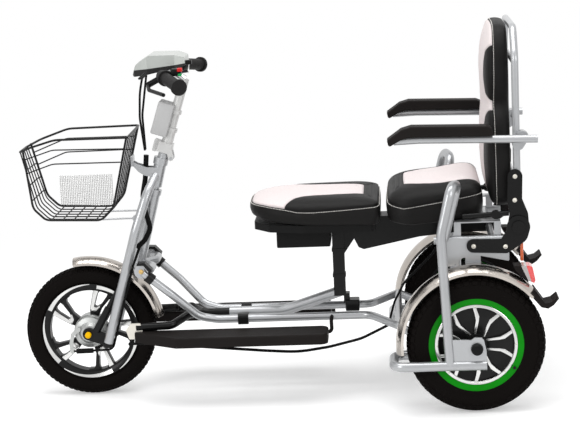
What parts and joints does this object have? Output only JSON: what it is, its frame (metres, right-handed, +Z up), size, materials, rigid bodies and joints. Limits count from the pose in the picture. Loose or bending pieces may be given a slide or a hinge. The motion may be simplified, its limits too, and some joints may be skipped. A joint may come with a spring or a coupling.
{
  "type": "electric tricycle",
  "caption": "Light electric tricycle with a folding steering column, wire basket, two footboards, a long padded seat, a reclining backrest and lift-up armrests.",
  "frame": {"origin": "on the ground, at the centre of the bounding box", "axes": "+X forward, +Y to the rider's left, +Z up"},
  "size_m": [1.4433, 0.684, 0.996],
  "materials": {
    "tyre": "matt black tread rubber",
    "silver_paint": "satin silver powder coat",
    "polished_steel": "polished",
    "black_paint": "gloss black",
    "green_paint": "gloss green ring round a silver rim",
    "black_rubber": "matt",
    "black_leather": "soft grained leatherette with a pale insert",
    "silver_plastic": "satin",
    "black_plastic": "satin",
    "clear_lens": "clear",
    "red_lens": "gloss",
    "orange_lens": "gloss"
  },
  "bodies": {
    "frame": {"axle_plates": "silver_paint", "battery_box": "black_paint", "board_brackets": "polished_steel", "centre_tube": "silver_paint", "fender_mouldings": "black_plastic", "footboard_left": "black_rubber", "footboard_right": "black_rubber", "frame_cables": "black_rubber", "front_cushion": "black_leather", "front_support": "black_paint", "guard_left": "silver_paint", "guard_right": "silver_paint", "head_tube": "silver_paint", "rear_axles": "black_plastic", "rear_cushion": "black_leather", "rear_fender_left": "polished_steel", "rear_fender_right": "polished_steel", "rear_frame": "silver_paint", "recliner_lowers": "black_paint", "seat_base": "black_plastic", "seat_beam": "black_paint", "seat_post": "black_paint", "side_reflectors": "orange_lens", "side_tube_left": "silver_paint", "side_tube_right": "silver_paint", "tail_lamps": "red_lens", "tube_clamps": "black_plastic"},
    "armrest_left": {"armrest_bar_left": "silver_paint", "armrest_pad_left": "black_rubber"},
    "armrest_right": {"armrest_bar_right": "silver_paint", "armrest_pad_right": "black_rubber"},
    "backrest": {"armrest_clamps": "black_plastic", "backrest_cushion": "black_leather", "backrest_frame": "silver_paint", "recliner_uppers": "black_paint"},
    "stem_assembly": {"bar_cables": "black_rubber", "brake_levers": "black_plastic", "dash": "silver_plastic", "grips": "black_rubber", "handlebar": "polished_steel", "headlight": "clear_lens", "meter_box": "silver_plastic", "stem": "silver_paint"},
    "fork_assembly": {"basket": "black_paint", "basket_bracket": "silver_paint", "brake_plate": "polished_steel", "fork": "silver_paint", "fork_cables": "black_rubber", "fork_links": "black_paint", "front_axle": "polished_steel", "front_fender": "polished_steel"},
    "front_wheel": {"front_hub": "black_paint", "front_rim": "black_paint", "front_tyre": "tyre"},
    "rear_wheel_left": {"rear_hub_left": "black_paint", "rear_rim_left": "green_paint", "rear_tyre_left": "tyre"},
    "rear_wheel_right": {"rear_hub_right": "black_paint", "rear_rim_right": "green_paint", "rear_tyre_right": "tyre"}
  },
  "joints": [
    {"name": "steering", "type": "hinge", "parent": "frame", "child": "fork_assembly", "pos_m": [0.3975, 0, 0.365], "axis": [-0.2605, 0, 0.9655], "range_deg": [-22, 22]},
    {"name": "front_wheel_spin", "type": "hinge", "parent": "fork_assembly", "child": "front_wheel", "pos_m": [0.5405, 0, 0.181], "axis": [0, 1, 0], "continuous": true},
    {"name": "rear_wheel_left_spin", "type": "hinge", "parent": "frame", "child": "rear_wheel_left", "pos_m": [-0.5075, 0.261, 0.181], "axis": [0, 1, 0], "continuous": true},
    {"name": "rear_wheel_right_spin", "type": "hinge", "parent": "frame", "child": "rear_wheel_right", "pos_m": [-0.5075, -0.261, 0.181], "axis": [0, 1, 0], "continuous": true},
    {"name": "stem_fold", "type": "hinge", "parent": "fork_assembly", "child": "stem_assembly", "pos_m": [0.29214, 0, 0.65448], "axis": [0, -1, 0], "range_deg": [0, 85]},
    {"name": "backrest_recline", "type": "hinge", "parent": "frame", "child": "backrest", "pos_m": [-0.6265, 0, 0.475], "axis": [0, -1, 0], "range_deg": [0, 35]},
    {"name": "armrest_left_lift", "type": "hinge", "parent": "backrest", "child": "armrest_left", "pos_m": [-0.6435, 0.262, 0.709], "axis": [0, -1, 0], "range_deg": [0, 95]},
    {"name": "armrest_right_lift", "type": "hinge", "parent": "backrest", "child": "armrest_right", "pos_m": [-0.6435, -0.262, 0.709], "axis": [0, -1, 0], "range_deg": [0, 95]}
  ]
}
